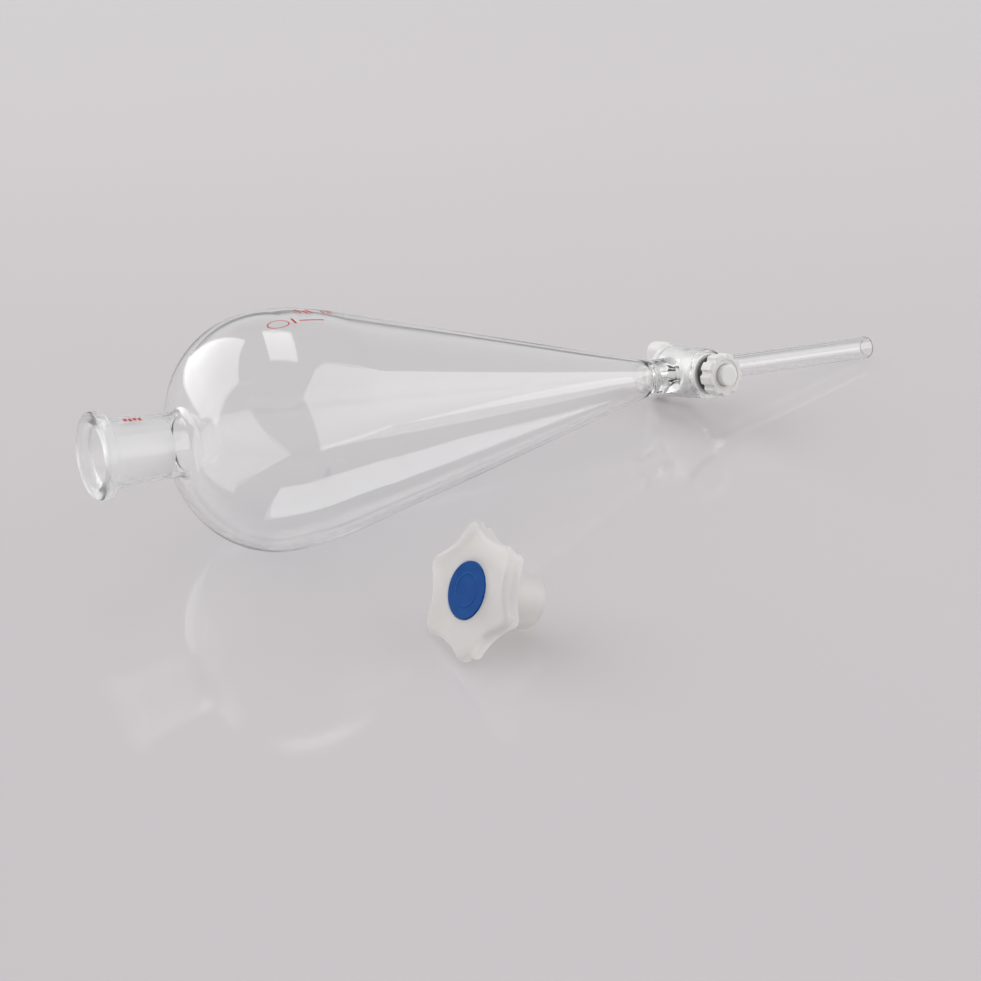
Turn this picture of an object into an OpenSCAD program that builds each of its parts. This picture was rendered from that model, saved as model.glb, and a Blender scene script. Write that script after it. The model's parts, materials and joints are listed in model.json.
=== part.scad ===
// Pear-shaped dropping funnel with a ground-glass neck and a PTFE stopcock.
// It lies on a table as it is put down after use, with its stopper beside it.
// Millimetres. +Z is up, +X runs from the neck to the tip of the stem, and
// the table is the plane z = 0.

/* [Bulb] */
// Outside diameter of the bulb at its widest circle
bulb_d = 96; // [80:1:115]
// Thickness of the blown glass of the bulb
bulb_wall = 2.0; // [1.4:0.1:2.6]
// Radius of the shoulder, seen from the side
shoulder_arc = 39.5; // [34:0.5:42]
// Radius of the long curve that leads from the widest circle into the cone
belly_arc = 131; // [100:1:160]
// Length from the widest circle down to the end of the cone
cone_len = 189; // [150:1:230]
// Outside diameter at the end of the cone
cone_end_d = 16; // [14:0.5:20]
// Radius of the fillet between the shoulder and the neck
neck_fillet = 3; // [2:0.5:5]

/* [Neck] */
// Diameter of the ground socket at its mouth (the 24 of a 24/29 joint)
joint_d = 24; // [19:0.1:29]
// Ground length of the socket (the 29 of a 24/29 joint)
joint_len = 29; // [24:1:35]
// Length of the neck, from the fillet to the rim
neck_len = 34; // [30:1:42]
// Glass wall of the neck
neck_wall = 2.0; // [1.6:0.1:2.6]
// Outside diameter of the rim
rim_d = 33.5; // [31:0.5:38]
// Height of the rim's collar
rim_h = 5; // [4:0.5:6]
// Rounding of the rim's edges
rim_edge = 1.6; // [0.8:0.1:2]

/* [Stopcock] */
// Distance from the end of the cone to the axis of the plug
inlet_len = 25.5; // [22:0.5:32]
// Length of the glass barrel
barrel_len = 25; // [22:0.5:32]
// Outside diameter of the barrel at the handle's end
barrel_d = 24.4; // [23:0.2:28]
// Outside diameter of the barrel at the nut's end
barrel_nut_d = 22.6; // [21:0.2:26]
// Diameter of the plug at the barrel's wide end
plug_d = 18.8; // [16:0.2:20]
// Radial running clearance of the plug in the barrel
plug_clear = 0.05; // [0.02:0.01:0.1]
// Diameter of the hole through the plug
plug_hole_d = 4; // [2:0.5:5]
// Diameter of the ports in the barrel's wall
port_d = 5; // [3:0.5:6]
// Thickness of the plug's collar, outside the barrel
collar_h = 4; // [3:0.5:6]
// Diameter of the plug's collar
collar_d = 21.6; // [20:0.2:24]
// Length of the T-handle's bar
handle_len = 26.4; // [22:0.2:30]
// Width of the T-handle's bar
handle_w = 9; // [7:0.5:12]
// Depth of the T-handle's bar, along the plug
handle_h = 9.5; // [7:0.5:12]
// Diameter of the plug's threaded tail
tail_d = 9.8; // [8:0.2:11]
// Length of the tail that stands out of the nut
tail_out = 2.5; // [1:0.5:5]
// Radial clearance of the nut and the seals on the tail
tail_clear = 0.08; // [0.04:0.01:0.1]
// Gap between flat faces that turn on each other
face_gap = 0.05; // [0.02:0.01:0.2]
// Outside diameter of the PTFE washer
washer_d = 18.8; // [16:0.2:20]
// Thickness of the PTFE washer
washer_h = 1.8; // [1:0.1:2.5]
// Thickness of the rubber of the O-ring
o_ring_w = 3.6; // [2:0.1:4]
// Outside diameter of the nut
nut_d = 19.3; // [17:0.1:22]
// Thickness of the nut
nut_h = 7; // [5:0.5:9]
// Number of notches around the nut
nut_notches = 9; // [6:1:16]
// Radius of the round notches
notch_r = 1.3; // [0.6:0.1:1.8]

/* [Stem] */
// Length from the axis of the plug to the tip of the stem
stem_len = 113; // [80:1:160]
// Outside diameter of the stem
stem_d = 10.8; // [9:0.2:13]
// Bore of the stem
stem_bore_d = 7.6; // [6:0.2:8]
// Length of the glass stub between the plug's axis and the stem
outlet_len = 20; // [17:0.5:26]

/* [Stopper] */
// Diameter of the cap over its lobes
cap_d = 52; // [46:1:58]
// Radius of the round end of each lobe
lobe_r = 5; // [4:0.5:6]
// Depth of the hollows between the lobes
lobe_depth = 4.6; // [3.6:0.1:5]
// Number of lobes
lobes = 6; // [6:1:6]
// Thickness of the cap
cap_h = 8.5; // [6:0.5:11]
// Height of the cap's narrower lower step
cap_step_h = 4; // [3:0.5:5]
// How far the lower step stands back from the lobes
cap_step = 1.6; // [0.8:0.1:2]
// Length of the tapered plug of the stopper
stopper_len = 21; // [20:0.5:29]
// Play between the stopper's plug and the socket, on the radius
stopper_clear = 0.1; // [0:0.05:0.3]
// Wall of the hollow stopper
stopper_wall = 2.2; // [1.6:0.1:3]
// Diameter of the coloured disc in the cap
disc_d = 21.8; // [18:0.2:24]
// Thickness of the coloured disc
disc_h = 2; // [1.4:0.1:3]
// How far the disc stands proud of the cap
disc_proud = 0.3; // [0:0.1:0.6]

/* [Lying pose] */
// Air under the T-handle's end, where it comes down to the table
handle_air = 0.1; // [0.05:0.05:1]
// Distance of the stopper from the tip of the stem, along the table
stopper_back = 296; // [240:1:330]
// Distance of the stopper from the funnel's axis, to the side
stopper_side = 108; // [90:1:140]
// Turn of the stopper on the table
stopper_turn = -3.3; // [-20:0.1:20]

/* [Hidden] */
$fn = 96;

// Standard tapers: 1 in 10 on diameter for the joint, 1 in 5 for the stopcock.
joint_taper = 1 / 10;
plug_taper = 1 / 5;
// A cut runs this far past the face it opens.
cut = 1;
// Straight pieces in the bulb's shoulder, and in each lobe and hollow of the cap.
arc_steps = 24;
lobe_steps = 8;

// Colours of the pieces.
glass = [0.86, 0.9, 0.9, 0.45];
ptfe = [0.95, 0.95, 0.94];
black_rubber = [0.08, 0.08, 0.08];
clear_plastic = [0.9, 0.91, 0.9, 0.8];
blue_plastic = [0.1, 0.25, 0.58];

// Bulb and neck radii.
bulb_r = bulb_d / 2;
joint_end_r = (joint_d - joint_len * joint_taper) / 2;
neck_end_r = joint_end_r + neck_wall;

// The belly's curve ends where the straight cone touches it.
belly_c = bulb_r - belly_arc;
cone_dr = cone_end_d / 2 - belly_c;
cone_reach = sqrt(cone_len * cone_len + cone_dr * cone_dr);
tangent_angle = atan2(cone_dr, cone_len) + acos(belly_arc / cone_reach);
cone_angle = 90 - tangent_angle;

// The shoulder's curve ends where the neck's fillet touches it.
shoulder_c = bulb_r - shoulder_arc;
fillet_r = neck_end_r + neck_fillet;
fillet_rise = sqrt(pow(shoulder_arc + neck_fillet, 2) - pow(fillet_r - shoulder_c, 2));
fillet_angle = atan2(fillet_rise, fillet_r - shoulder_c);

// Heights above the stem's tip, with the funnel upright.
cone_end_z = stem_len + inlet_len;
widest_z = cone_end_z + cone_len;
neck_z = widest_z + fillet_rise;
rim_z = neck_z + neck_len;

// Stopcock, measured along the plug: the handle is at +y and the nut at -y.
plug_mid_r = plug_d / 2 - barrel_len / 2 * plug_taper / 2;
tail_r = tail_d / 2;
washer_y = barrel_len / 2 + face_gap;
o_ring_y = washer_y + washer_h;
nut_y = o_ring_y + o_ring_w;
tail_end_y = nut_y + nut_h + tail_out;
handle_y = barrel_len / 2 + face_gap + collar_h;
handle_end_y = handle_y + handle_h;

// Lobed cap: each hollow is an arc that touches the two lobes beside it.
cap_r = cap_d / 2;
lobe_c = cap_r - lobe_r;
half_lobe = 180 / lobes;
hollow_at = cap_r - lobe_depth;
hollow_r = (pow(hollow_at, 2) + pow(lobe_c, 2) - 2 * hollow_at * lobe_c * cos(half_lobe) - pow(lobe_r, 2))
         / (2 * (lobe_c * cos(half_lobe) + lobe_r - hollow_at));
hollow_c = hollow_at + hollow_r;
lobe_sweep = atan2(hollow_c * sin(half_lobe), hollow_c * cos(half_lobe) - lobe_c);
plug_top_r = joint_d / 2 - stopper_clear;
plug_tip_r = plug_top_r - stopper_len * joint_taper / 2;
disc_seat_h = disc_h - disc_proud;

// Lying pose of the funnel: it rests on its belly and on the stem's tip.
stem_r = stem_d / 2;
rest_rise = belly_c - stem_r;
rest_reach = sqrt(pow(widest_z, 2) + pow(rest_rise, 2));
tilt = asin(belly_arc / rest_reach) + atan(rest_rise / widest_z);
tip_z = stem_r * cos(tilt);
cock_z = tip_z + stem_len * sin(tilt);
// It rolls until the T-handle comes down to the table.
handle_drop = (cock_z - handle_air) / cos(tilt);
handle_reach = sqrt(pow(handle_len / 2, 2) + pow(handle_end_y, 2));
roll = asin(handle_drop / handle_reach) - atan2(handle_len / 2, handle_end_y);

// Lying pose of the stopper: it rests on two lobes and on its plug's end.
cap_rest_r = lobe_c * cos(half_lobe) + lobe_r - cap_step;
stopper_tilt = atan((cap_rest_r - plug_tip_r) / stopper_len);

// The origin is the middle of the whole set's footprint.
middle_x = (stem_r * sin(tilt) - rim_z * cos(tilt) - rim_d / 2 * sin(tilt)) / 2;
middle_y = (bulb_r - stopper_side - cap_r) / 2;

function arc(c, r, from, to, steps) =
    [for (i = [0:steps]) let (a = from + (to - from) * i / steps) [c[0] + r * cos(a), c[1] + r * sin(a)]];

// Half outline of the bulb as [radius, height], shrunk by inset.
function bulb_outline(inset) = concat(
    [[cone_end_d / 2 - inset / cos(cone_angle), cone_end_z]],
    arc([belly_c, widest_z], belly_arc - inset, -cone_angle, 0, arc_steps / 2),
    arc([shoulder_c, widest_z], shoulder_arc - inset, 0, fillet_angle, arc_steps),
    arc([fillet_r, neck_z], neck_fillet + inset, fillet_angle - 180, -180, arc_steps / 4));

// Half section of the rim's collar, with both outer edges rounded.
function rim_outline() =
    let (edge_c = rim_d / 2 - rim_edge)
    concat([[joint_d / 2, rim_z - rim_h]],
           arc([edge_c, rim_z - rim_h + rim_edge], rim_edge, -90, 0, arc_steps / 4),
           arc([edge_c, rim_z - rim_edge], rim_edge, 0, 90, arc_steps / 4),
           [[joint_d / 2, rim_z]]);

// One lobe of the cap around the direction at, and the hollow that follows it.
function cap_side(at, inset) =
    let (lobe = arc(lobe_c * [cos(at), sin(at)], lobe_r - inset, at - lobe_sweep, at + lobe_sweep, lobe_steps),
         beside = at + half_lobe,
         hollow = arc(hollow_c * [cos(beside), sin(beside)], hollow_r + inset,
                      at + lobe_sweep + 180, beside + half_lobe - lobe_sweep + 180, lobe_steps))
    concat(lobe, [for (k = [1:lobe_steps - 1]) hollow[k]]);

// Puts upright funnel parts down on the table.
module lying() {
    translate([-middle_x, -middle_y, tip_z])
        rotate([0, tilt - 90, 0])
            rotate([0, 0, roll])
                children();
}

// Puts what is drawn around +z, with z = 0 at the funnel's axis, along the plug.
// The nut's end of the plug is towards +z here.
module along_plug() {
    translate([0, 0, stem_len])
        rotate([90, 0, 0])
            children();
}

// Puts the upright stopper down on the table.
module stopper_lying() {
    translate([-middle_x - stopper_back, -middle_y - stopper_side, cap_rest_r * cos(stopper_tilt)])
        rotate([0, 0, stopper_turn])
            rotate([0, stopper_tilt - 90, 0])
                children();
}

module ring(outer_r, inner_r, h) {
    difference() {
        cylinder(r = outer_r, h = h);
        translate([0, 0, -cut])
            cylinder(r = inner_r, h = h + 2 * cut);
    }
}

// Glass neck with its ground socket and collared rim.
module neck_socket() {
    color(glass)
        lying()
            difference() {
                union() {
                    translate([0, 0, neck_z])
                        cylinder(r = neck_end_r, h = neck_len - joint_len);
                    translate([0, 0, rim_z - joint_len])
                        cylinder(r1 = neck_end_r, r2 = joint_d / 2 + neck_wall, h = joint_len);
                    rotate_extrude()
                        polygon(rim_outline());
                }
                translate([0, 0, neck_z - cut])
                    cylinder(r = joint_end_r, h = neck_len);
                translate([0, 0, rim_z - joint_len])
                    cylinder(r1 = joint_end_r, r2 = joint_d / 2, h = joint_len);
                translate([0, 0, rim_z])
                    cylinder(r = joint_d / 2, h = cut);
            }
}

// Blown glass bulb: shoulder, belly and cone in one wall.
module bulb() {
    outer = bulb_outline(0);
    inner = bulb_outline(bulb_wall);
    color(glass)
        lying()
            rotate_extrude()
                polygon(concat(outer, [for (i = [len(inner) - 1:-1:0]) inner[i]]));
}

// Glass barrel of the stopcock, with the inlet and outlet stubs sealed to it.
module stopcock_barrel() {
    bore_r = plug_mid_r + plug_clear;
    bore_grow = (barrel_len / 2 + cut) * plug_taper / 2;
    inlet_bore_r = cone_end_d / 2 - bulb_wall / cos(cone_angle);
    color(glass)
        lying()
            difference() {
                union() {
                    along_plug()
                        translate([0, 0, -barrel_len / 2])
                            cylinder(d1 = barrel_d, d2 = barrel_nut_d, h = barrel_len);
                    translate([0, 0, stem_len])
                        cylinder(d = cone_end_d, h = inlet_len);
                    translate([0, 0, stem_len - outlet_len])
                        cylinder(d1 = stem_d, d2 = cone_end_d, h = outlet_len);
                }
                along_plug()
                    translate([0, 0, -barrel_len / 2 - cut])
                        cylinder(r1 = bore_r + bore_grow, r2 = bore_r - bore_grow, h = barrel_len + 2 * cut);
                translate([0, 0, stem_len - barrel_d / 2])
                    cylinder(d = port_d, h = barrel_d);
                translate([0, 0, stem_len + barrel_d / 2])
                    cylinder(r1 = port_d / 2, r2 = inlet_bore_r, h = inlet_len - barrel_d / 2);
                translate([0, 0, stem_len + inlet_len])
                    cylinder(r = inlet_bore_r, h = cut);
                translate([0, 0, stem_len - outlet_len])
                    cylinder(r1 = stem_bore_d / 2, r2 = port_d / 2, h = outlet_len - barrel_d / 2);
                translate([0, 0, stem_len - outlet_len - cut])
                    cylinder(d = stem_bore_d, h = cut);
            }
}

// Straight glass outlet tube with a square-cut tip.
module stem() {
    color(glass)
        lying()
            ring(stem_r, stem_bore_d / 2, stem_len - outlet_len);
}

// PTFE plug: taper, cross hole, collar, T-handle and threaded tail in one piece.
module stopcock_plug() {
    plug_grow = barrel_len / 2 * plug_taper / 2;
    bar_r = handle_w / 2;
    bar_c = handle_len / 2 - bar_r;
    color(ptfe)
        lying()
            difference() {
                along_plug() {
                    translate([0, 0, -barrel_len / 2])
                        cylinder(r1 = plug_mid_r + plug_grow, r2 = plug_mid_r - plug_grow, h = barrel_len);
                    translate([0, 0, barrel_len / 2 - cut])
                        cylinder(r = tail_r, h = tail_end_y - barrel_len / 2 + cut);
                    translate([0, 0, -barrel_len / 2 - face_gap])
                        cylinder(r = plug_mid_r + plug_grow, h = face_gap);
                    translate([0, 0, -handle_y])
                        cylinder(d = collar_d, h = collar_h);
                    translate([0, 0, -handle_end_y])
                        linear_extrude(handle_h) {
                            square([2 * bar_c, handle_w], center = true);
                            for (side = [-1, 1])
                                translate([side * bar_c, 0])
                                    circle(r = bar_r);
                        }
                }
                translate([-plug_d, 0, stem_len])
                    rotate([0, 90, 0])
                        cylinder(d = plug_hole_d, h = 2 * plug_d);
            }
}

// PTFE washer between the barrel's end and the O-ring.
module plug_washer() {
    color(ptfe)
        lying()
            along_plug()
                translate([0, 0, washer_y])
                    ring(washer_d / 2, tail_r + tail_clear, washer_h);
}

// Rubber O-ring that keeps the nut tight.
module plug_o_ring() {
    section_r = o_ring_w / 2;
    color(black_rubber)
        lying()
            along_plug()
                translate([0, 0, o_ring_y + section_r])
                    rotate_extrude()
                        translate([tail_r + tail_clear + section_r, 0])
                            circle(r = section_r, $fn = 32);
}

// Notched PTFE nut on the plug's tail.
module plug_nut() {
    color(ptfe)
        lying()
            along_plug()
                translate([0, 0, nut_y])
                    difference() {
                        ring(nut_d / 2, tail_r + tail_clear, nut_h);
                        for (i = [0:nut_notches - 1])
                            rotate([0, 0, i * 360 / nut_notches])
                                translate([nut_d / 2, 0, -cut])
                                    cylinder(r = notch_r, h = nut_h + 2 * cut, $fn = 24);
                    }
}

// Lobed outline of the cap, shrunk by inset.
module cap_outline(inset) {
    polygon([for (i = [0:lobes - 1], p = cap_side(half_lobe + i * 360 / lobes, inset)) p]);
}

// Hollow moulded stopper with its lobed cap.
module stopper() {
    color(clear_plastic)
        stopper_lying()
            difference() {
                union() {
                    linear_extrude(cap_step_h)
                        cap_outline(cap_step);
                    translate([0, 0, cap_step_h])
                        linear_extrude(cap_h - cap_step_h)
                            cap_outline(0);
                    translate([0, 0, -stopper_len])
                        cylinder(r1 = plug_tip_r, r2 = plug_top_r, h = stopper_len);
                }
                translate([0, 0, -stopper_len])
                    cylinder(r1 = plug_tip_r - stopper_wall, r2 = plug_top_r - stopper_wall, h = stopper_len);
                translate([0, 0, -stopper_len - cut])
                    cylinder(r = plug_tip_r - stopper_wall, h = cut);
                translate([0, 0, cap_h - disc_seat_h])
                    cylinder(d = disc_d, h = disc_seat_h + cut);
            }
}

// Coloured disc pressed into the cap.
module stopper_disc() {
    color(blue_plastic)
        stopper_lying()
            translate([0, 0, cap_h - disc_seat_h])
                cylinder(d = disc_d, h = disc_h);
}

neck_socket();
bulb();
stopcock_barrel();
stem();
stopcock_plug();
plug_washer();
plug_o_ring();
plug_nut();
stopper();
stopper_disc();
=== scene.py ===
"""Looks of the dropping funnel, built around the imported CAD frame: glass, stopcock, stopper and studio.

Lengths named here are in millimetres; they become metres where a mesh is made.
Funnel pieces are drawn upright, as in the CAD source: z runs up the funnel from the tip of the stem,
and y along the stopcock's plug, with the handle at +y and the nut at -y.
"""

import json
import math

import bmesh
import bpy
import numpy as np
import openvdb
from mathutils import Matrix, Vector


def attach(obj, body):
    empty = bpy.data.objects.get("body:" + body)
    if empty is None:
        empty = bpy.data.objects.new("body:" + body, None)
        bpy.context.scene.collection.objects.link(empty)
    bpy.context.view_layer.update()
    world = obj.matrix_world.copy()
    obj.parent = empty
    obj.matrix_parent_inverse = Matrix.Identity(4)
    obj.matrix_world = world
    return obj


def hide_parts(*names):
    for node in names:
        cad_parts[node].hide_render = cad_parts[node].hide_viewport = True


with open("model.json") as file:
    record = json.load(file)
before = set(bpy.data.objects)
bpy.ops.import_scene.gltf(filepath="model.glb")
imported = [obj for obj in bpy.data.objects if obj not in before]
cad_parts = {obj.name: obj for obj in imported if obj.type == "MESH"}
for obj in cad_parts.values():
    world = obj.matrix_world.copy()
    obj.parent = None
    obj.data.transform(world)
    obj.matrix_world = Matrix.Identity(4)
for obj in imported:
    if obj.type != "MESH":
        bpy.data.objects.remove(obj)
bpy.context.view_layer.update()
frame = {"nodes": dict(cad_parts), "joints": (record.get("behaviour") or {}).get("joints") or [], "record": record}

MM = 0.001

# Bulb and neck
BULB_R = 48.0
SHOULDER_ARC = 39.5
BELLY_ARC = 131.0
NECK_FILLET = 3.0
CONE_END_R = 8.0
CONE_ANGLE = math.radians(12.9358)
CONE_END = 138.5
WIDEST = 327.5
NECK_START = 369.4
FILLET_ANGLE = math.radians(80.4515)
NECK_END_R = 12.55
SOCKET_R = 10.55
MOUTH_R = 12.0
RIM = 403.4
GROUND_LEN = 29.0
RIM_R = 16.75
RIM_H = 5.0
RIM_EDGE = 1.6
RIM_FILLET = 1.2
MOUTH_EDGE = 1.0
WALL = 2.0
# The swelling at the seal to the stopcock: height and width, outside and inside.
SEAL_OUT = (0.35, 1.6)
SEAL_IN = (0.5, 2.2)

# Stopcock
COCK = 113.0
BARREL_HALF = 12.5
BARREL_R = 11.75
BARREL_TAPER = 0.036
PLUG_R = 8.15
PLUG_TAPER = 0.1
PLUG_PLAY = 0.05
PORT_R = 2.5
BLOWN_FILLET = 3.2
BARREL_EDGE = 1.6
GROUND_EDGE = 0.3
BORE_EDGE = 0.5
PLUG_HOLE_R = 2.0
FACE_GAP = 0.05
COLLAR_R = 10.8
COLLAR_END = 16.55
HANDLE_END = 26.05
HANDLE_HALF = 13.2
HANDLE_R = 4.5
HANDLE_NECK_R = 6.2
DISH_HALF = 6.2
DISH_R = 2.2
DISH_DEPTH = 0.8
TAIL_R = 4.9
TAIL_END = 27.45
WASHER_AT = 12.55
WASHER_H = 1.8
WASHER_R = 9.4
O_RING_R = 1.8
NUT_AT = 17.95
NUT_H = 7.0
NUT_R = 9.65
NUT_NOTCHES = 9
NOTCH_R = 1.3
BORE_R = 4.98
NUT_DISH_R = 6.9
NUT_DISH_DEPTH = 0.45
THREAD_PITCH = 1.5
THREAD_DEPTH = 0.42

# Stem
STEM_R = 5.4
STEM_BORE_R = 3.8
STEM_END = 93.0
TIP_EDGE = 0.55

# Stopper
LOBE_R = 5.0
LOBE_AT = 21.0
HOLLOW_R = 26.749
HOLLOW_AT = 48.149
CAP_H = 8.5
CAP_STEP_H = 4.0
CAP_STEP = 1.6
STOPPER_LEN = 21.0
STOPPER_TOP_R = 11.9
STOPPER_TIP_R = 10.85
STOPPER_WALL = 2.2
DISC_R = 10.9
DISC_H = 2.0
DISC_SEAT = 1.7
DISC_PLAY = 0.05
DISC_EDGE = 0.6
DISC_SUNK = 0.22
DISC_CROWN = 0.12
# The raised ring on the disc: radius, height and width.
DISC_RING = (6.1, 0.16, 0.42)

# Print. Heights are from the tip of the stem and angles in degrees, where -90 faces the nut's side.
PRINT_LIFT = 0.03
PRINT_THICK = 0.03
# Strokes: height of the middle, angle of the middle, angle covered, width along the axis.
NECK_STROKES = [(RIM - 12.6 - k * 1.9, -20 - 2 * (k % 2), 9, 1.3) for k in range(4)]
BULB_STROKES = [
    (325, -24, 5, 1.0),
    (318, -12, 7, 1.0),
    (315.5, -14, 5, 1.0),
    (313, -12, 7, 1.0),
    (307, -12, 4, 1.0),
    (304, -12, 5, 1.0),
    (317, -24, 0.8, 11),
    (312, 3, 1.2, 26),
]
# The printed ring: height, angle, radius, width of its line, and how much it is flattened around the bulb.
RING_AT = 332
RING_ANGLE = math.radians(-25)
RING_R = 4.6
RING_LINE = 0.55
RING_FLAT = 0.62

# Studio, in metres
TABLE_HALF = 2.8
SOFTBOX_DISTANCE = 3.0
BACKDROP = (0.64, 0.62, 0.645, 1)
CAMERA_LENS = 66.16
CAMERA_AT = (-0.4038, -0.5359, 0.3674)
CAMERA_TURN = (math.radians(61.54), 0, math.radians(-33.46))
# Brightness of the room by the sine of the height above the horizon.
ROOM = [(0.3, 0.65), (0.57, 0.36)]
# Refracted rays see the room dimmed up to the first height and not above the second.
SKIRTING = (0.07, 0.17)
SKIRTING_DIM = 0.72

# Meshing, in millimetres. The funnel is lathed, but for a length around the stopcock that is
# meshed from a distance field.
NET_TOP = 135.0
NET_BOTTOM = 89.0
SEGMENTS = 192
SMALL_SEGMENTS = 96
ARC_STEPS = 60
FILLET_STEPS = 14
EDGE_STEPS = 8
# Shares of the cone's length where it has rings, closer together towards the stopcock.
CONE_SHARES = np.linspace(0.012, 0.985, 90) ** 1.5
# Grid steps of the fields.
STOPCOCK_STEP = 0.36
PLUG_STEP = 0.3
RING_STEP = 0.2
STOPPER_STEP = 0.45


def mount(name):
    return next(m for m in frame["record"]["mounts"] if m["name"] == name)


def joint(name):
    return next(j for j in frame["joints"] if j["name"] == name)


def place(origin, y_axis, z_axis):
    """Matrix that puts millimetre drawings at origin, with their y and z along the given axes."""
    z = Vector(z_axis).normalized()
    x = Vector(y_axis).cross(z).normalized()
    y = z.cross(x)
    turn = Matrix((x, y, z)).transposed().to_4x4()
    return Matrix.Translation(origin) @ turn @ Matrix.Scale(MM, 4)


def funnel_place():
    stem = mount("stem_outlet")
    out = Vector(stem["axis"])
    tip = Vector(stem["pos_m"]) + out * stem["dims"]["length_mm"] * MM / 2
    return place(tip, -Vector(joint("plug_turn")["axis"]), -out)


def stopper_place():
    """The disc's thin direction is the stopper's axis, and its outer face tells how far the cap reaches."""
    disc = frame["nodes"]["stopper_disc"].data
    co = np.array([v.co for v in disc.vertices], float)
    middle = (co.min(0) + co.max(0)) / 2
    axis = Vector(np.linalg.svd(co - co.mean(0))[2][2])
    if axis.z < 0:
        axis.negate()
    disc_middle = CAP_H - DISC_SEAT + DISC_H / 2
    return place(Vector(middle) - axis * disc_middle * MM, Vector((0, 0, 1)).cross(axis), axis)


FUNNEL = funnel_place()
STOPPER = stopper_place()


# ---------------------------------------------------------------- fields

def join(a, b, k):
    """Smooth union of two distance fields, with a fillet of about k."""
    h = np.clip(0.5 + 0.5 * (b - a) / k, 0, 1)
    return b + (a - b) * h - k * h * (1 - h)


def both(a, b, k):
    return -join(-a, -b, k)


def cut(a, b, k):
    return both(a, -b, k)


def slab(t, low, high):
    return np.maximum(low - t, t - high)


def net(field, low, high, step):
    """Vertices and quads of the surface where the field is 0, in a box, settled onto it."""
    axes = [np.arange(a, b + step, step) for a, b in zip(low, high)]
    x, y, z = np.meshgrid(*axes, indexing="ij")
    grid = openvdb.FloatGrid(background=3 * step)
    grid.copyFromArray(np.clip(field(x, y, z), -3 * step, 3 * step).astype(np.float32))
    points, _, quads = grid.convertToPolygons(isovalue=0.0)
    points = points * step + np.array(low)
    for _ in range(4):
        points = points - settle_step(field, points, step)
    return points, quads[:, ::-1]


def settle_step(field, points, step):
    """How far each point has to move towards the surface, at most half a grid step."""
    e = step * 0.05
    value = field(*points.T)
    rises = [field(*(points + d).T) - field(*(points - d).T) for d in np.eye(3) * e]
    slope = np.stack(rises, 1) / (2 * e)
    size = np.maximum((slope**2).sum(1), 0.05)
    move = slope * (value / size)[:, None]
    length = np.maximum(np.linalg.norm(move, axis=1), 1e-9)
    return move * np.minimum(1, 0.5 * step / length)[:, None]


# ---------------------------------------------------------------- meshes

def add_net(bm, points, quads):
    verts = [bm.verts.new(p) for p in points]
    for q in quads:
        bm.faces.new([verts[i] for i in q])
    return verts


def lathe(bm, outline, segments=SEGMENTS, wobble=None):
    """Rings of vertices around z for an outline of (radius, z), joined into a skin. Returns the rings."""
    rings = []
    for k, (r, z) in enumerate(outline):
        ring = []
        for i in range(segments):
            a = 2 * math.pi * i / segments
            rr = r + (wobble(k, a) if wobble else 0)
            ring.append(bm.verts.new((rr * math.cos(a), rr * math.sin(a), z)))
        rings.append(ring)
    for a, b in zip(rings, rings[1:]):
        for i in range(segments):
            j = (i + 1) % segments
            bm.faces.new((a[i], a[j], b[j], b[i]))
    return rings


def around(v):
    return math.atan2(v.co.y, v.co.x) % (2 * math.pi)


def stitch(bm, first, second):
    """Joins two rings around z that have different numbers of vertices."""
    a, b = sorted(first, key=around), sorted(second, key=around)
    i = j = 0
    while i < len(a) or j < len(b):
        next_a = around(a[(i + 1) % len(a)]) + 2 * math.pi * ((i + 1) // len(a))
        next_b = around(b[(j + 1) % len(b)]) + 2 * math.pi * ((j + 1) // len(b))
        at_a, at_b = a[i % len(a)], b[j % len(b)]
        if j == len(b) or (i < len(a) and next_a <= next_b):
            bm.faces.new((at_a, a[(i + 1) % len(a)], at_b))
            i += 1
        else:
            bm.faces.new((at_a, b[(j + 1) % len(b)], at_b))
            j += 1


def open_rings(bm, z):
    """The two rings of boundary vertices at height z, outer first."""
    level = [v for v in bm.verts if abs(v.co.z - z) < 1e-4]
    edge = [v for v in level if any(e.is_boundary for e in v.link_edges)]
    reach = [v.co.xy.length for v in edge]
    middle = (min(reach) + max(reach)) / 2
    outer = [v for v in edge if v.co.xy.length > middle]
    return outer, [v for v in edge if v.co.xy.length <= middle]


def piece(name, bm, where, body, materials, smooth=True):
    """Turns bm into the object name, put in place and riding on a CAD body."""
    bmesh.ops.recalc_face_normals(bm, faces=bm.faces)
    mesh = bpy.data.meshes.new(name)
    bm.to_mesh(mesh)
    bm.free()
    mesh.transform(where)
    for m in materials:
        mesh.materials.append(m)
    if smooth:
        mesh.shade_smooth()
    obj = bpy.data.objects.new(name, mesh)
    bpy.context.scene.collection.objects.link(obj)
    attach(obj, body)
    return obj


def modelled(name, field, low, high, step, where, body, material):
    """A piece meshed from a distance field."""
    bm = bmesh.new()
    add_net(bm, *net(field, low, high, step))
    return piece(name, bm, where, body, [material])


# ---------------------------------------------------------------- material nodes

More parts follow.
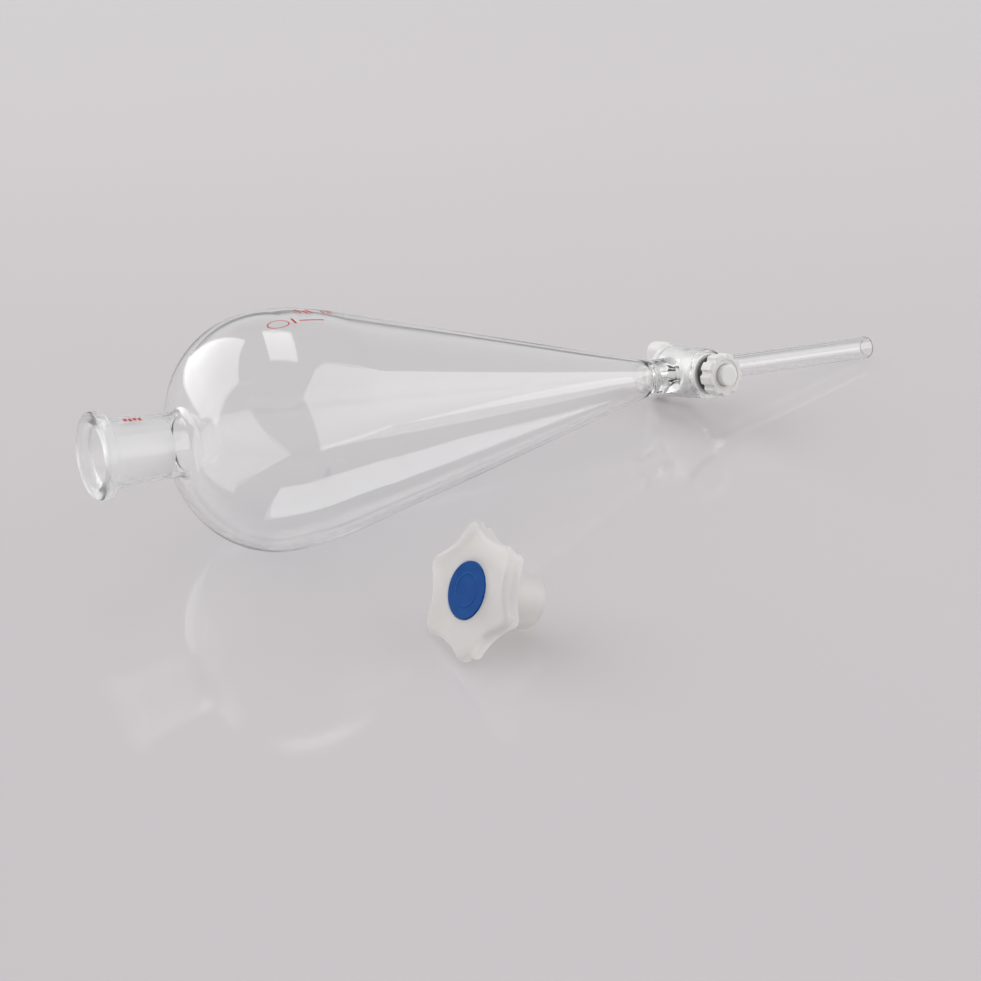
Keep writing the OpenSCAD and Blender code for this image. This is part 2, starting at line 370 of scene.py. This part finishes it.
class Shader:
    """Short names for building one material's nodes."""

    def __init__(self, name):
        self.material = bpy.data.materials.new(name)
        self.material.use_nodes = True
        self.nodes = self.material.node_tree.nodes
        self.links = self.material.node_tree.links
        self.bsdf = self.nodes["Principled BSDF"]
        self.out = self.nodes["Material Output"]

    def node(self, kind, **settings):
        n = self.nodes.new("ShaderNode" + kind)
        for key, value in settings.items():
            setattr(n, key, value)
        return n

    def set(self, **values):
        for key, value in values.items():
            self.bsdf.inputs[key.replace("_", " ")].default_value = value

    def noise(self, scale, detail):
        """A noise value in object space; scale is in features per metre."""
        at = self.node("TexCoord")
        n = self.node("TexNoise")
        n.inputs["Scale"].default_value = scale
        n.inputs["Detail"].default_value = detail
        self.links.new(at.outputs["Object"], n.inputs["Vector"])
        return n.outputs["Fac"]

    def ramp(self, value, low, high):
        """Maps the middle of a noise value's range onto two greys or two colours."""
        r = self.node("ValToRGB")
        for point, where, colour in zip(r.color_ramp.elements, (0.3, 0.7), (low, high)):
            point.position = where
            point.color = colour if isinstance(colour, tuple) else (colour, colour, colour, 1)
        self.links.new(value, r.inputs["Fac"])
        return r.outputs["Color"]

    def feed(self, socket, source):
        self.links.new(source, self.bsdf.inputs[socket])

    def bump(self, height, strength, distance):
        b = self.node("Bump")
        b.inputs["Strength"].default_value = strength
        b.inputs["Distance"].default_value = distance
        self.links.new(height, b.inputs["Height"])
        self.links.new(b.outputs["Normal"], self.bsdf.inputs["Normal"])

    def let_light_through(self, tint):
        """Lamps and light off the table go straight through: no solid shadow and no glare."""
        path = self.node("LightPath")
        either = self.node("Math", operation="MAXIMUM")
        clear = self.node("BsdfTransparent")
        clear.inputs["Color"].default_value = tint
        mix = self.node("MixShader")
        self.links.new(path.outputs["Is Shadow Ray"], either.inputs[0])
        self.links.new(path.outputs["Is Diffuse Ray"], either.inputs[1])
        self.links.new(either.outputs["Value"], mix.inputs["Fac"])
        self.links.new(self.bsdf.outputs["BSDF"], mix.inputs[1])
        self.links.new(clear.outputs["BSDF"], mix.inputs[2])
        self.links.new(mix.outputs["Shader"], self.out.inputs["Surface"])


def glass_material():
    s = Shader("borosilicate_glass")
    s.set(Base_Color=(0.996, 1, 0.998, 1), Roughness=0.0, IOR=1.473, Transmission_Weight=1.0)
    s.bump(s.noise(30, detail=1), 0.06, 0.0003)
    s.let_light_through((0.97, 0.975, 0.975, 1))
    return s.material


def ground_material():
    s = Shader("ground_joint_glass")
    s.set(Base_Color=(0.985, 0.99, 0.99, 1), IOR=1.473, Transmission_Weight=1.0)
    grit = s.noise(2600, detail=5)
    s.feed("Roughness", s.ramp(grit, 0.42, 0.55))
    s.bump(grit, 0.04, 0.00003)
    s.let_light_through((0.93, 0.93, 0.93, 1))
    return s.material


def ptfe_material(name, shade):
    s = Shader(name)
    cloud = s.noise(140, detail=3)
    s.feed("Base Color", s.ramp(cloud, (*[c * 0.965 for c in shade], 1), (*shade, 1)))
    turned = s.noise(900, detail=6)
    s.feed("Roughness", s.ramp(turned, 0.34, 0.46))
    s.bump(turned, 0.08, 0.0001)
    s.set(IOR=1.36, Subsurface_Weight=0.25, Subsurface_Scale=0.002)
    s.bsdf.inputs["Subsurface Radius"].default_value = (1.0, 0.95, 0.9)
    return s.material


def rubber_material():
    s = Shader("black_rubber")
    dust = s.noise(1500, detail=5)
    s.feed("Base Color", s.ramp(dust, (0.012, 0.012, 0.012, 1), (0.03, 0.03, 0.03, 1)))
    s.feed("Roughness", s.ramp(dust, 0.42, 0.6))
    s.bump(dust, 0.1, 0.00005)
    return s.material


def stopper_material():
    s = Shader("milky_polyethylene")
    flow = s.noise(90, detail=3)
    s.feed("Base Color", s.ramp(flow, (0.69, 0.668, 0.652, 1), (0.72, 0.698, 0.682, 1)))
    skin = s.noise(400, detail=3)
    s.feed("Roughness", s.ramp(skin, 0.42, 0.5))
    s.bump(skin, 0.03, 0.00005)
    s.set(IOR=1.5, Transmission_Weight=0.45, Subsurface_Weight=0.9, Subsurface_Scale=0.02)
    s.bsdf.inputs["Subsurface Radius"].default_value = (1.0, 0.98, 0.95)
    s.let_light_through((0.92, 0.91, 0.895, 1))
    return s.material


def disc_material():
    s = Shader("blue_plastic")
    mottle = s.noise(220, detail=4)
    s.feed("Base Color", s.ramp(mottle, (0.003, 0.058, 0.25, 1), (0.005, 0.075, 0.3, 1)))
    s.feed("Roughness", s.ramp(s.noise(1200, detail=4), 0.4, 0.5))
    s.bump(s.noise(500, detail=4), 0.06, 0.0001)
    s.set(IOR=1.5, Specular_IOR_Level=0.1)
    return s.material


def enamel_material():
    s = Shader("red_enamel")
    patchy = s.noise(2500, detail=4)
    s.feed("Base Color", s.ramp(patchy, (0.42, 0.02, 0.02, 1), (0.6, 0.04, 0.035, 1)))
    s.feed("Roughness", s.ramp(patchy, 0.35, 0.55))
    return s.material


def floor_material():
    s = Shader("glossy_table")
    cloud = s.noise(1.2, detail=2)
    s.feed("Base Color", s.ramp(cloud, (0.61, 0.582, 0.598, 1), (0.63, 0.6, 0.618, 1)))
    s.set(Roughness=0.09, IOR=1.45)
    return s.material


# ---------------------------------------------------------------- funnel glass

def arc(centre_r, centre_z, radius, start, end, steps):
    turns = np.linspace(start, end, steps)
    return [(centre_r + radius * math.cos(a), centre_z + radius * math.sin(a)) for a in turns]


def between(a, b, shares):
    """Points of an outline at these shares of the way from a to b."""
    return [(a[0] + t * (b[0] - a[0]), a[1] + t * (b[1] - a[1])) for t in shares]


def tube_r(z):
    """Outside radius of the stubs and the stem."""
    return np.interp(z, [STEM_END - 2, COCK], [STEM_R, CONE_END_R])


def way_r(z):
    """Inside radius of the stubs and the stem."""
    inlet_r = CONE_END_R - WALL / math.cos(CONE_ANGLE)
    heights = [STEM_END, COCK - BARREL_R, COCK + BARREL_R, CONE_END]
    return np.interp(z, heights, [STEM_BORE_R, PORT_R, PORT_R, inlet_r])


def seal(z, height, width):
    """The slight swelling where the cone is sealed to the stopcock."""
    return height * math.exp(-(((z - CONE_END) / width) ** 2))


def outer_wall():
    """Up the outside of the funnel, from above the stopcock to the rounded top of the rim."""
    belly = arc(BULB_R - BELLY_ARC, WIDEST, BELLY_ARC, -CONE_ANGLE, 0, ARC_STEPS)
    wall = [(tube_r(z), z) for z in np.arange(NET_TOP + 0.5, CONE_END - 1.2, 0.4)]
    wall += between((CONE_END_R, CONE_END), belly[0], CONE_SHARES) + belly
    wall = [(r + seal(z, *SEAL_OUT), z) for r, z in wall]
    wall += arc(BULB_R - SHOULDER_ARC, WIDEST, SHOULDER_ARC, 0, FILLET_ANGLE, ARC_STEPS)[1:]
    fillet = NECK_END_R + NECK_FILLET
    wall += arc(fillet, NECK_START, NECK_FILLET, FILLET_ANGLE - math.pi, -math.pi, FILLET_STEPS)[1:]
    # The neck widens over the ground length, up to the fillet under the collar.
    ground_at = RIM - GROUND_LEN
    slope = (MOUTH_R + WALL - NECK_END_R) / GROUND_LEN
    under = RIM - RIM_H - RIM_FILLET
    wall += [(NECK_END_R, z) for z in np.linspace(NECK_START + 1, ground_at, 6)]
    heights = np.linspace(ground_at + 1, under - 0.8, 20)
    wall += [(NECK_END_R + (z - ground_at) * slope, z) for z in heights]
    collar_foot = NECK_END_R + (under - ground_at) * slope + RIM_FILLET
    wall += arc(collar_foot, under, RIM_FILLET, math.pi, math.pi / 2, EDGE_STEPS)
    edge_r = RIM_R - RIM_EDGE
    wall += arc(edge_r, RIM - RIM_H + RIM_EDGE, RIM_EDGE, -math.pi / 2, 0, EDGE_STEPS)
    return wall + arc(edge_r, RIM - RIM_EDGE, RIM_EDGE, 0, math.pi / 2, EDGE_STEPS)


def inner_wall():
    """Down the inside of the funnel, from below the ground socket to above the stopcock."""
    wall = [(SOCKET_R, z) for z in np.linspace(RIM - GROUND_LEN - 0.3, NECK_START + 1, 5)]
    fillet = NECK_END_R + NECK_FILLET
    inner_fillet = NECK_FILLET + WALL
    wall += arc(fillet, NECK_START, inner_fillet, -math.pi, FILLET_ANGLE - math.pi, FILLET_STEPS)[1:]
    shoulder = BULB_R - SHOULDER_ARC
    wall += arc(shoulder, WIDEST, SHOULDER_ARC - WALL, FILLET_ANGLE, 0, ARC_STEPS)[1:]
    wall += arc(BULB_R - BELLY_ARC, WIDEST, BELLY_ARC - WALL, 0, -CONE_ANGLE, ARC_STEPS)[1:]
    wall += between(wall[-1], (way_r(CONE_END), CONE_END), 1 - CONE_SHARES[::-1])
    wall += [(way_r(z), z) for z in np.arange(CONE_END - 1.2, NET_TOP + 0.4, -0.4)]
    return [(r - seal(z, *SEAL_IN), z) for r, z in wall]


def body_outline():
    """The funnel's wall above the stopcock, up the outside, over the rim and down the inside."""
    lip = arc(MOUTH_R + MOUTH_EDGE, RIM - MOUTH_EDGE, MOUTH_EDGE, math.pi / 2, math.pi, EDGE_STEPS)
    taper = (MOUTH_R - SOCKET_R) / GROUND_LEN
    heights = np.linspace(RIM - 1.6, RIM - GROUND_LEN + 0.3, 24)
    socket = [(MOUTH_R - (RIM - z) * taper, z) for z in heights]
    return outer_wall(), lip, socket, inner_wall()


def stem_outline():
    """The stem's wall from the net down to the square-cut, fire-polished tip and back up the bore."""
    down = np.linspace(NET_BOTTOM - 0.5, 1, ARC_STEPS)
    up = np.linspace(1, NET_BOTTOM - 0.5, ARC_STEPS)
    edge = TIP_EDGE
    tip = arc(STEM_R - edge, edge, edge, 0, -math.pi / 2, 7)
    tip += arc(STEM_BORE_R + edge, edge, edge, -math.pi / 2, -math.pi, 7)
    return [(tube_r(z), z) for z in down] + tip + [(STEM_BORE_R, z) for z in up]


def stopcock_field(x, y, z):
    """The barrel with its two stubs, blown together, and everything bored out of them."""
    across = np.hypot(x, y)
    off_plug = np.hypot(x, z - COCK)
    ends = np.abs(y) - BARREL_HALF
    barrel = both(off_plug - (BARREL_R + y * BARREL_TAPER), ends, BARREL_EDGE)
    solid = join(barrel, across - tube_r(z), BLOWN_FILLET)
    solid = both(solid, ends, GROUND_EDGE)
    bored = cut(solid, off_plug - (PLUG_R + PLUG_PLAY + y * PLUG_TAPER), BORE_EDGE)
    return cut(bored, across - way_r(z), BORE_EDGE)


def wall_waves(k, a):
    """Hand-blown unevenness of the inside of the wall, at ring k and angle a."""
    broad = 0.07 * math.sin(2 * a + 0.031 * k)
    middle = 0.045 * math.sin(3 * a - 0.05 * k + 1.3)
    return broad + middle + 0.03 * math.sin(5 * a + 0.11 * k)


def stopcock_glass(bm, ground_index):
    """The modelled length of the glass, cut square at both ends, with its ground faces marked."""
    low = (-BARREL_R - 2.4, -BARREL_HALF - 1, NET_BOTTOM - 2)
    high = (BARREL_R + 2.4, BARREL_HALF + 1, NET_TOP + 2)
    add_net(bm, *net(stopcock_field, low, high, STOPCOCK_STEP))
    for height, side in ((NET_TOP, 1), (NET_BOTTOM, -1)):
        bmesh.ops.bisect_plane(
            bm, geom=bm.verts[:] + bm.edges[:] + bm.faces[:], dist=1e-5,
            plane_co=(0, 0, height), plane_no=(0, 0, side), clear_outer=True)
    for face in bm.faces:
        at = face.calc_center_median()
        off_bore = math.hypot(at.x, at.z - COCK) - (PLUG_R + PLUG_PLAY + at.y * PLUG_TAPER)
        if abs(at.y) > BARREL_HALF - 0.1 or abs(off_bore) < 0.2:
            face.material_index = ground_index


def build_funnel(glass, ground):
    ground_index = 1
    bm = bmesh.new()
    stopcock_glass(bm, ground_index)
    top, bottom = open_rings(bm, NET_TOP), open_rings(bm, NET_BOTTOM)
    outside, lip, socket, inside = body_outline()
    outline = outside + lip + socket + inside
    first_inside = len(outside) + len(lip) + len(socket)

    def wobble(k, a):
        """The waves start below the neck and end above the stopcock."""
        start = min(1, max(0, k - first_inside - 20) / 30)
        end = min(1, max(0, len(outline) - 30 - k) / 60)
        return wall_waves(k, a) * start * end

    first_face = len(bm.faces)
    rings = lathe(bm, outline, wobble=wobble)
    bm.faces.ensure_lookup_table()
    # The top of the rim, the lip and the socket are ground.
    for k in range(len(outside) - 4, first_inside):
        for i in range(SEGMENTS):
            bm.faces[first_face + (k - 1) * SEGMENTS + i].material_index = ground_index
    stitch(bm, top[0], rings[0])
    stitch(bm, top[1], rings[-1])
    stem = lathe(bm, stem_outline())
    stitch(bm, bottom[0], stem[0])
    stitch(bm, bottom[1], stem[-1])
    body = piece("funnel_glass", bm, FUNNEL, "glassware", [glass, ground])
    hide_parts("neck_socket", "bulb", "stopcock_barrel", "stem")


# ---------------------------------------------------------------- stopcock

def plug_field(x, y, z):
    """Tapered plug with its cross hole, collar, T-handle and threaded tail."""
    w = z - COCK
    off = np.hypot(x, w)
    taper = both(off - (PLUG_R + y * PLUG_TAPER), slab(y, -BARREL_HALF, BARREL_HALF + 1), 0.4)
    turn = np.arctan2(w, x) / (2 * math.pi)
    crest = np.abs(((-y / THREAD_PITCH + turn) % 1) - 0.5) * 2
    groove = np.clip(crest * 1.4 - 0.2, 0, 1) * np.clip((-y - WASHER_AT) * 2, 0, 1)
    thread = THREAD_DEPTH * groove
    tail = both((off - TAIL_R + thread) * 0.7, slab(-y, 0, TAIL_END), 0.9)
    collar = both(off - COLLAR_R, slab(y, BARREL_HALF + FACE_GAP, COLLAR_END), 0.9)
    neck = both(off - HANDLE_NECK_R, slab(y, BARREL_HALF, COLLAR_END + 4), 0.5)
    bar_2d = np.hypot(np.maximum(np.abs(x) - (HANDLE_HALF - HANDLE_R), 0), w) - HANDLE_R
    bar = both(bar_2d, slab(y, COLLAR_END - 1, HANDLE_END), 2.2)
    dish = np.hypot(np.maximum(np.abs(x) - DISH_HALF, 0), w) - DISH_R
    bar = cut(bar, both(dish, HANDLE_END - DISH_DEPTH - y, 0.8), 1.0)
    solid = join(join(taper, tail, 0.5), collar, 0.6)
    solid = join(join(solid, neck, 0.5), bar, 1.6)
    return cut(solid, np.hypot(y, w) - PLUG_HOLE_R, 0.3)


def ring_field(at, h, outer, inner, edge):
    """A turned ring on the plug's tail, with rounded edges."""
    def field(x, y, z):
        off = np.hypot(x, z - COCK)
        return cut(both(off - outer, slab(-y, at, at + h), edge), off - inner, edge * 0.5)
    return field


def nut_field(x, y, z):
    """Nut with round notches, softened edges and a shallow dish in its face."""
    w = z - COCK
    off = np.hypot(x, w)
    step = 2 * math.pi / NUT_NOTCHES
    turn = np.arctan2(w, x)
    from_notch = turn - step * np.round(turn / step)
    notch = np.hypot(off * np.cos(from_notch) - NUT_R, off * np.sin(from_notch)) - NOTCH_R
    depth = -y - NUT_AT
    body = both(off - NUT_R, slab(depth, 0, NUT_H), 0.9)
    body = cut(body, notch, 0.5)
    body = cut(body, both(off - NUT_DISH_R, NUT_H - NUT_DISH_DEPTH - depth, 0.3), 0.3)
    return cut(body, off - BORE_R, 0.5)


def on_tail(name, field, at, h, body, material):
    """A piece on the plug's tail, which covers h from at, measured out from the barrel's middle."""
    reach = NUT_R + 1
    low, high = (-reach, -at - h - 1, COCK - reach), (reach, 1 - at, COCK + reach)
    return modelled(name, field, low, high, RING_STEP, FUNNEL, body, material)


def build_stopcock(ptfe, nut_ptfe, rubber):
    low = (-HANDLE_HALF - 1, -TAIL_END - 1, COCK - COLLAR_R - 1)
    high = (HANDLE_HALF + 1, HANDLE_END + 1, COCK + COLLAR_R + 1)
    plug = modelled(
        "ptfe_plug_with_handle", plug_field, low, high, PLUG_STEP, FUNNEL, "plug", ptfe)
    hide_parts("stopcock_plug")
    washer_field = ring_field(WASHER_AT, WASHER_H, WASHER_R, BORE_R, 0.35)
    washer = on_tail("ptfe_washer", washer_field, WASHER_AT, WASHER_H, "seals", ptfe)
    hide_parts("plug_washer")
    bm = bmesh.new()
    middle_r, middle_at = BORE_R + O_RING_R, WASHER_AT + WASHER_H + O_RING_R
    section = arc(middle_r, middle_at, O_RING_R, 0, 2 * math.pi, 33)[:-1]
    lathe(bm, section + [(middle_r + O_RING_R, middle_at)], SMALL_SEGMENTS)
    bmesh.ops.remove_doubles(bm, verts=bm.verts, dist=1e-5)
    along_plug = Matrix.Translation((0, 0, COCK)) @ Matrix.Rotation(math.pi / 2, 4, "X")
    o_ring = piece("rubber_o_ring", bm, FUNNEL @ along_plug, "seals", [rubber])
    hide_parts("plug_o_ring")
    nut = on_tail("notched_nut", nut_field, NUT_AT, NUT_H, "nut", nut_ptfe)
    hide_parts("plug_nut")


# ---------------------------------------------------------------- stopper

def lobed(x, y):
    """Signed distance to the lobed outline: round lobes with wide hollows that touch them."""
    step = math.pi / 3
    a = np.abs((np.arctan2(y, x) % step) - step / 2)
    r = np.hypot(x, y)
    px, py = r * np.cos(a), r * np.sin(a)
    hx, hy = HOLLOW_AT * math.cos(step / 2), HOLLOW_AT * math.sin(step / 2)
    on_lobe = np.hypot(px - LOBE_AT, py) - LOBE_R
    on_hollow = HOLLOW_R - np.hypot(px - hx, py - hy)
    side = (hx - LOBE_AT) * py - hy * (px - LOBE_AT)
    return np.where(side < 0, on_lobe, on_hollow)


def stopper_field(x, y, z):
    """Lobed cap on a hollow tapered plug, with softened moulded edges."""
    edge = lobed(x, y)
    off = np.hypot(x, y)
    upper = both(edge, slab(z, CAP_STEP_H, CAP_H), 2.2)
    lower = both(edge + CAP_STEP, slab(z, 0, CAP_STEP_H + 1), 0.8)
    cap = join(upper, lower, 0.6)
    slope = (STOPPER_TOP_R - STOPPER_TIP_R) / STOPPER_LEN
    plug = both(off - STOPPER_TOP_R - z * slope, slab(z, -STOPPER_LEN, 1), 0.9)
    hollow_r = STOPPER_TOP_R - STOPPER_WALL
    hollow = both(off - hollow_r - z * slope, slab(z, -STOPPER_LEN - 3, 0), 1.5)
    solid = cut(join(cap, plug, 1.2), hollow, 0.5)
    return cut(solid, both(off - DISC_R - DISC_PLAY, CAP_H - DISC_SEAT - z, 0.1), 0.5)


def disc_outline():
    """Half section of the coloured disc: rounded edge, shallow dish and one raised ring."""
    low = CAP_H - DISC_SEAT
    top = low + DISC_H
    ring_r, ring_h, ring_w = DISC_RING
    face = []
    for r in np.linspace(DISC_R - DISC_EDGE - 0.1, 0.05, ARC_STEPS):
        ring = ring_h * math.exp(-(((r - ring_r) / ring_w) ** 2))
        face.append((r, top - DISC_SUNK + DISC_CROWN * (r / DISC_R) ** 4 + ring))
    foot = [(0.05, low), (DISC_R - 0.3, low), (DISC_R, low + 0.3)]
    edge_at = top - DISC_EDGE - 0.1
    return foot + arc(DISC_R - DISC_EDGE, edge_at, DISC_EDGE, 0, math.pi / 2, EDGE_STEPS) + face


def build_stopper(plastic, blue):
    reach = LOBE_AT + LOBE_R + 1
    low, high = (-reach, -reach, -STOPPER_LEN - 1), (reach, reach, CAP_H + 1)
    stopper = modelled(
        "lobed_stopper", stopper_field, low, high, STOPPER_STEP,
        STOPPER, "loose_stopper", plastic)
    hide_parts("stopper")
    bm = bmesh.new()
    rings = lathe(bm, disc_outline(), SMALL_SEGMENTS)
    for ring in (rings[0], rings[-1]):
        bm.faces.new(ring)
    disc = piece("blue_disc", bm, STOPPER, "loose_stopper", [blue])
    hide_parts("stopper_disc")


# ---------------------------------------------------------------- printed marks

def skin_r(outline, z):
    """Outside radius of the glass at height z."""
    radii, heights = zip(*outline)
    return float(np.interp(z, heights, radii))


def on_glass(bm, outline, z, angle, up):
    r = skin_r(outline, z) + up
    return bm.verts.new((r * math.cos(angle), r * math.sin(angle), z))


def patch(bm, outline, z0, z1, a0, a1, steps):
    """A thin slip of enamel on the glass between two heights and two angles."""
    heights, angles = np.linspace(z0, z1, steps + 1), np.linspace(a0, a1, steps + 1)
    layers = []
    for up in (PRINT_LIFT, PRINT_LIFT + PRINT_THICK):
        layers.append([[on_glass(bm, outline, z, a, up) for a in angles] for z in heights])
    for grid in layers:
        for i in range(steps):
            for j in range(steps):
                bm.faces.new((grid[i][j], grid[i + 1][j], grid[i + 1][j + 1], grid[i][j + 1]))
    low, high = layers
    border = [(i, 0) for i in range(steps)] + [(steps, j) for j in range(steps)]
    border += [(i, steps) for i in range(steps, 0, -1)] + [(0, j) for j in range(steps, 0, -1)]
    for (i, j), (k, m) in zip(border, border[1:] + border[:1]):
        bm.faces.new((low[i][j], low[k][m], high[k][m], high[i][j]))


def stroke(bm, outline, z, angle, reach, width):
    """A slip that covers reach degrees around the angle, and width along the axis."""
    half = math.radians(reach / 2)
    middle = math.radians(angle)
    steps = max(8, int(width))
    patch(bm, outline, z - width / 2, z + width / 2, middle - half, middle + half, steps)


def printed_ring(bm, outline):
    """A small open ring printed on the glass, flattened a little around the bulb."""
    count = 28
    r = skin_r(outline, RING_AT)
    for i in range(count):
        t0, t1 = (2 * math.pi * k / count for k in (i, i + 1))
        inner = RING_R - RING_LINE
        quad = []
        for up in (PRINT_LIFT, PRINT_LIFT + PRINT_THICK):
            for t, rad in ((t0, RING_R), (t1, RING_R), (t1, inner), (t0, inner)):
                angle = RING_ANGLE + RING_FLAT * rad * math.cos(t) / r
                quad.append(on_glass(bm, outline, RING_AT + rad * math.sin(t), angle, up))
        for q in ((0, 1, 2, 3), (4, 5, 6, 7), (0, 1, 5, 4), (2, 3, 7, 6)):
            bm.faces.new([quad[k] for k in q])
    bmesh.ops.remove_doubles(bm, verts=bm.verts, dist=1e-4)


def build_marks(enamel):
    """Plain strokes and a ring stand where the glass carries its red print."""
    outside = outer_wall()
    for name, strokes in (("red_mark_neck", NECK_STROKES), ("red_mark_bulb", BULB_STROKES)):
        bm = bmesh.new()
        if name == "red_mark_bulb":
            printed_ring(bm, outside)
        for z, angle, reach, width in strokes:
            stroke(bm, outside, z, angle, reach, width)
        piece(name, bm, FUNNEL, "glassware", [enamel], smooth=False)


# ---------------------------------------------------------------- studio

def build_floor():
    bm = bmesh.new()
    bmesh.ops.create_grid(bm, x_segments=8, y_segments=8, size=TABLE_HALF)
    mesh = bpy.data.meshes.new("table")
    bm.to_mesh(mesh)
    bm.free()
    mesh.materials.append(floor_material())
    floor = bpy.data.objects.new("table", mesh)
    bpy.context.scene.collection.objects.link(floor)
    return floor


def light_groups(floor):
    """Receivers for the lights: everything but the table, and the table alone."""
    groups = []
    for name, state in (("lit_pieces", "EXCLUDE"), ("lit_table", "INCLUDE")):
        group = bpy.data.collections.new(name)
        group.objects.link(floor)
        group.collection_objects[0].light_linking.link_state = state
        groups.append(group)
    return groups


def softbox(groups, name, azimuth, width, height, radiance):
    """An upright studio panel standing on the table's level, seen in reflections but not by the camera.
    Azimuth is its direction from the object, in degrees: 0 is +Y and 90 is +X."""
    a = math.radians(azimuth)
    at = Vector((math.sin(a), math.cos(a), 0)) * SOFTBOX_DISTANCE
    at.z = height / 2 + 0.02
    panel(groups, name, at, Vector((0, 0, at.z)) - at, width, height, radiance)


def panel(groups, name, at, facing, width, height, radiance, roll=0.0):
    """A soft panel as two lights of one shape: the pieces show its reflection and the table doesn't."""
    turn = Vector(facing).to_track_quat("-Z", "Y") @ Matrix.Rotation(roll, 3, "Z").to_quaternion()
    for group in groups:
        light = bpy.data.lights.new(f"{name}_{group.name}", "AREA")
        light.shape = "RECTANGLE"
        light.size, light.size_y = width, height
        light.energy = radiance * math.pi * width * height
        obj = bpy.data.objects.new(light.name, light)
        obj.location = at
        obj.rotation_mode = "QUATERNION"
        obj.rotation_quaternion = turn
        obj.visible_camera = False
        obj.visible_glossy = group.name == "lit_pieces"
        obj.light_linking.receiver_collection = group
        bpy.context.scene.collection.objects.link(obj)


def build_world():
    """The camera sees a pale backdrop. Everything else is lit by a room with pale walls and a darker
    ceiling. Its foot looks dark through glass, which draws the fine dark line along upper edges."""
    world = bpy.data.worlds.new("studio")
    bpy.context.scene.world = world
    world.use_nodes = True
    nodes, links = world.node_tree.nodes, world.node_tree.links
    room = nodes["Background"]
    at = nodes.new("ShaderNodeTexCoord")
    split = nodes.new("ShaderNodeSeparateXYZ")
    shade = nodes.new("ShaderNodeValToRGB")
    for stop, (height, grey) in zip(shade.color_ramp.elements, ROOM):
        stop.position = height
        stop.color = (grey, grey, grey, 1)
    links.new(at.outputs["Generated"], split.inputs["Vector"])
    links.new(split.outputs["Z"], shade.inputs["Fac"])
    links.new(shade.outputs["Color"], room.inputs["Color"])
    path = nodes.new("ShaderNodeLightPath")
    skirting = nodes.new("ShaderNodeMapRange")
    sockets = ("From Min", "From Max", "To Min", "To Max")
    for socket, value in zip(sockets, (*SKIRTING, SKIRTING_DIM, 0)):
        skirting.inputs[socket].default_value = value
    dimmed = nodes.new("ShaderNodeMath")
    dimmed.operation = "MULTIPLY"
    left = nodes.new("ShaderNodeMath")
    left.operation = "SUBTRACT"
    left.inputs[0].default_value = 1
    links.new(split.outputs["Z"], skirting.inputs["Value"])
    links.new(skirting.outputs["Result"], dimmed.inputs[0])
    links.new(path.outputs["Is Transmission Ray"], dimmed.inputs[1])
    links.new(dimmed.outputs["Value"], left.inputs[1])
    links.new(left.outputs["Value"], room.inputs["Strength"])
    backdrop = nodes.new("ShaderNodeBackground")
    backdrop.inputs["Color"].default_value = BACKDROP
    mix = nodes.new("ShaderNodeMixShader")
    links.new(path.outputs["Is Camera Ray"], mix.inputs["Fac"])
    links.new(room.outputs["Background"], mix.inputs[1])
    links.new(backdrop.outputs["Background"], mix.inputs[2])
    links.new(mix.outputs["Shader"], nodes["World Output"].inputs["Surface"])


def build_camera():
    data = bpy.data.cameras.new("camera")
    data.lens = CAMERA_LENS
    data.sensor_width = 36
    camera = bpy.data.objects.new("camera", data)
    camera.location = CAMERA_AT
    camera.rotation_euler = CAMERA_TURN
    bpy.context.scene.collection.objects.link(camera)
    bpy.context.scene.camera = camera


def build_studio():
    groups = light_groups(build_floor())
    build_world()
    softbox(groups, "panel_left", azimuth=-40, width=4.0, height=4.2, radiance=1.85)
    softbox(groups, "panel_right", azimuth=131, width=4.4, height=4.7, radiance=1.4)
    panel(
        groups, "panel_overhead", at=(0.62, 1.0, 2.4), facing=(0, 0, -1),
        width=1.05, height=2.0, radiance=2.2, roll=math.radians(-22))
    build_camera()
    bpy.context.scene.view_settings.view_transform = "Standard"


def main():
    build_funnel(glass_material(), ground_material())
    ptfe = ptfe_material("ptfe", (0.8, 0.795, 0.78))
    nut_ptfe = ptfe_material("nut_ptfe", (0.77, 0.76, 0.745))
    build_stopcock(ptfe, nut_ptfe, rubber_material())
    build_stopper(stopper_material(), disc_material())
    build_marks(enamel_material())
    build_studio()


main()
